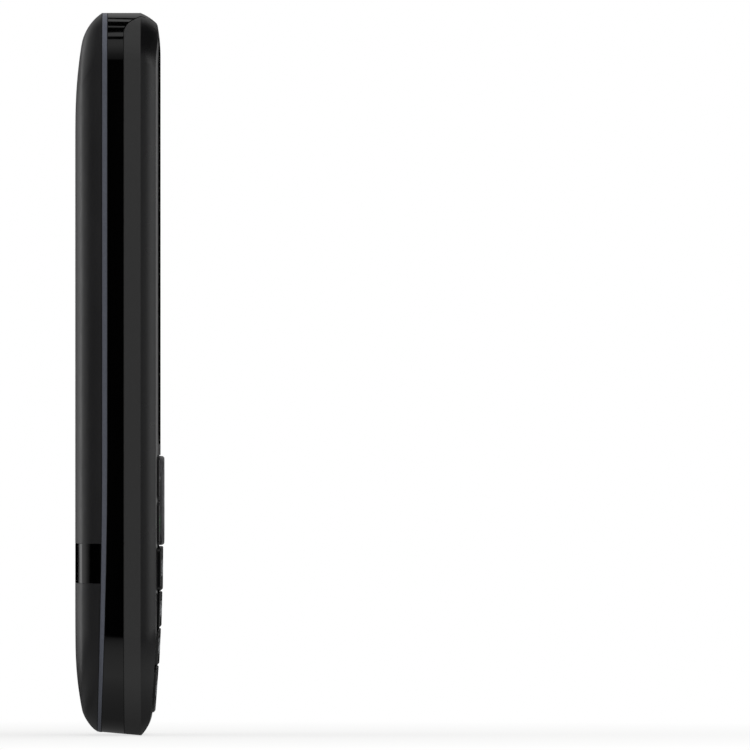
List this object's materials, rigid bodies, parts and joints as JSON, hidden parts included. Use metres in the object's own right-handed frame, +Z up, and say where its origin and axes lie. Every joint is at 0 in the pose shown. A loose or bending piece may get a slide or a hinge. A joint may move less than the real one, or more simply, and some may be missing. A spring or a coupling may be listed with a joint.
{
  "type": "mobile phone",
  "caption": "Slim bar phone with number keys, display window, removable back cover and battery, and a torch in its top end.",
  "frame": {"origin": "centre of the bottom end of the bounding box, phone standing on its bottom end", "axes": "+Z up along the phone to its torch end, -Y out of the front face with the keys, +X to the user's right"},
  "size_m": [0.0492, 0.0142, 0.1153],
  "materials": {
    "antenna_brass": "plated",
    "battery_wrap": "satin film",
    "blue_grey_trim": "satin",
    "board_green": "solder mask",
    "cover_black": "fine textured",
    "display_glass": "polished",
    "dome_film": "satin",
    "flex_amber": "film",
    "foam_black": "foam",
    "gloss_black": "polished",
    "graphite_shell": "fine matt",
    "inner_plastic": "matt",
    "key_black": "satin",
    "lamp_white": "phosphor",
    "mesh_steel": "fine weave",
    "motor_steel": "plated",
    "nav_metal": "satin",
    "screw_steel": "blackened",
    "shield_tin": "dull tin",
    "silicone": "matt",
    "socket_black": "matt",
    "spring_steel": "bright",
    "torch_clear": "frosted",
    "weight_tungsten": "sintered",
    "window_glass": "polished"
  },
  "bodies": {
    "phone": {"antenna_carrier": "inner_plastic", "antenna_plate": "antenna_brass", "battery_connector": "socket_black", "board_shields": "shield_tin", "case_screws": "screw_steel", "display_flex": "flex_amber", "display_frame": "shield_tin", "display_gasket": "foam_black", "display_panel": "display_glass", "display_window": "window_glass", "dome_sheet": "dome_film", "earpiece_mesh": "mesh_steel", "earpiece_receiver": "socket_black", "flex_connector": "inner_plastic", "front_case": "graphite_shell", "headset_jack": "socket_black", "keypad_mat": "silicone", "loudspeaker": "socket_black", "main_board": "board_green", "memory_card_socket": "spring_steel", "microphone": "shield_tin", "rear_chassis": "inner_plastic", "side_band": "gloss_black", "sim_socket_1": "spring_steel", "sim_socket_2": "spring_steel", "speaker_gasket": "foam_black", "torch_board": "board_green", "torch_lamps": "lamp_white", "torch_lens": "torch_clear", "trim_ring": "blue_grey_trim", "usb_socket": "shield_tin", "vibration_motor": "motor_steel"},
    "cover": {"battery_cover": "cover_black", "rear_strip": "gloss_black"},
    "battery_pack": {"battery": "battery_wrap"},
    "weight": {"motor_weight": "weight_tungsten"},
    "call_key_body": {"call_key": "key_black"},
    "end_key_body": {"end_key": "key_black"},
    "key_0_body": {"key_0": "key_black"},
    "key_1_body": {"key_1": "key_black"},
    "key_2_body": {"key_2": "key_black"},
    "key_3_body": {"key_3": "key_black"},
    "key_4_body": {"key_4": "key_black"},
    "key_5_body": {"key_5": "key_black"},
    "key_6_body": {"key_6": "key_black"},
    "key_7_body": {"key_7": "key_black"},
    "key_8_body": {"key_8": "key_black"},
    "key_9_body": {"key_9": "key_black"},
    "key_hash_body": {"key_hash": "key_black"},
    "key_star_body": {"key_star": "key_black"},
    "soft_left_body": {"soft_left": "key_black"},
    "soft_right_body": {"soft_right": "key_black"},
    "nav_ring_body": {"nav_ring": "nav_metal"},
    "ok_key_body": {"ok_key": "key_black"}
  },
  "joints": [
    {"name": "call_key_press", "type": "slide", "parent": "phone", "child": "call_key_body", "axis": [0, 1, 0], "range_m": [0, 0.0003], "stiffness_N_per_m": 500, "springref_m": -0.0002},
    {"name": "end_key_press", "type": "slide", "parent": "phone", "child": "end_key_body", "axis": [0, 1, 0], "range_m": [0, 0.0003], "stiffness_N_per_m": 500, "springref_m": -0.0002},
    {"name": "key_0_press", "type": "slide", "parent": "phone", "child": "key_0_body", "axis": [0, 1, 0], "range_m": [0, 0.0003], "stiffness_N_per_m": 500, "springref_m": -0.0002},
    {"name": "key_1_press", "type": "slide", "parent": "phone", "child": "key_1_body", "axis": [0, 1, 0], "range_m": [0, 0.0003], "stiffness_N_per_m": 500, "springref_m": -0.0002},
    {"name": "key_2_press", "type": "slide", "parent": "phone", "child": "key_2_body", "axis": [0, 1, 0], "range_m": [0, 0.0003], "stiffness_N_per_m": 500, "springref_m": -0.0002},
    {"name": "key_3_press", "type": "slide", "parent": "phone", "child": "key_3_body", "axis": [0, 1, 0], "range_m": [0, 0.0003], "stiffness_N_per_m": 500, "springref_m": -0.0002},
    {"name": "key_4_press", "type": "slide", "parent": "phone", "child": "key_4_body", "axis": [0, 1, 0], "range_m": [0, 0.0003], "stiffness_N_per_m": 500, "springref_m": -0.0002},
    {"name": "key_5_press", "type": "slide", "parent": "phone", "child": "key_5_body", "axis": [0, 1, 0], "range_m": [0, 0.0003], "stiffness_N_per_m": 500, "springref_m": -0.0002},
    {"name": "key_6_press", "type": "slide", "parent": "phone", "child": "key_6_body", "axis": [0, 1, 0], "range_m": [0, 0.0003], "stiffness_N_per_m": 500, "springref_m": -0.0002},
    {"name": "key_7_press", "type": "slide", "parent": "phone", "child": "key_7_body", "axis": [0, 1, 0], "range_m": [0, 0.0003], "stiffness_N_per_m": 500, "springref_m": -0.0002},
    {"name": "key_8_press", "type": "slide", "parent": "phone", "child": "key_8_body", "axis": [0, 1, 0], "range_m": [0, 0.0003], "stiffness_N_per_m": 500, "springref_m": -0.0002},
    {"name": "key_9_press", "type": "slide", "parent": "phone", "child": "key_9_body", "axis": [0, 1, 0], "range_m": [0, 0.0003], "stiffness_N_per_m": 500, "springref_m": -0.0002},
    {"name": "key_hash_press", "type": "slide", "parent": "phone", "child": "key_hash_body", "axis": [0, 1, 0], "range_m": [0, 0.0003], "stiffness_N_per_m": 500, "springref_m": -0.0002},
    {"name": "key_star_press", "type": "slide", "parent": "phone", "child": "key_star_body", "axis": [0, 1, 0], "range_m": [0, 0.0003], "stiffness_N_per_m": 500, "springref_m": -0.0002},
    {"name": "soft_left_press", "type": "slide", "parent": "phone", "child": "soft_left_body", "axis": [0, 1, 0], "range_m": [0, 0.0003], "stiffness_N_per_m": 500, "springref_m": -0.0002},
    {"name": "soft_right_press", "type": "slide", "parent": "phone", "child": "soft_right_body", "axis": [0, 1, 0], "range_m": [0, 0.0003], "stiffness_N_per_m": 500, "springref_m": -0.0002},
    {"name": "nav_ring_press", "type": "slide", "parent": "phone", "child": "nav_ring_body", "axis": [0, 1, 0], "range_m": [0, 0.0003], "stiffness_N_per_m": 500, "springref_m": -0.0002},
    {"name": "ok_key_press", "type": "slide", "parent": "phone", "child": "ok_key_body", "axis": [0, 1, 0], "range_m": [0, 0.0003], "stiffness_N_per_m": 500, "springref_m": -0.0002},
    {"name": "cover_lift", "type": "slide", "parent": "phone", "child": "cover", "axis": [0, 1, 0], "range_m": [0, 0.012]},
    {"name": "battery_lift", "type": "slide", "parent": "phone", "child": "battery_pack", "axis": [0, 1, 0], "range_m": [0, 0.0054]},
    {"name": "weight_spin", "type": "hinge", "parent": "phone", "child": "weight", "pos_m": [0.013, 0.00282, 0.013], "axis": [1, 0, 0], "continuous": true}
  ],
  "couplings": [
    {"joint": "battery_lift", "follows": "cover_lift", "ratio": 0.45}
  ]
}
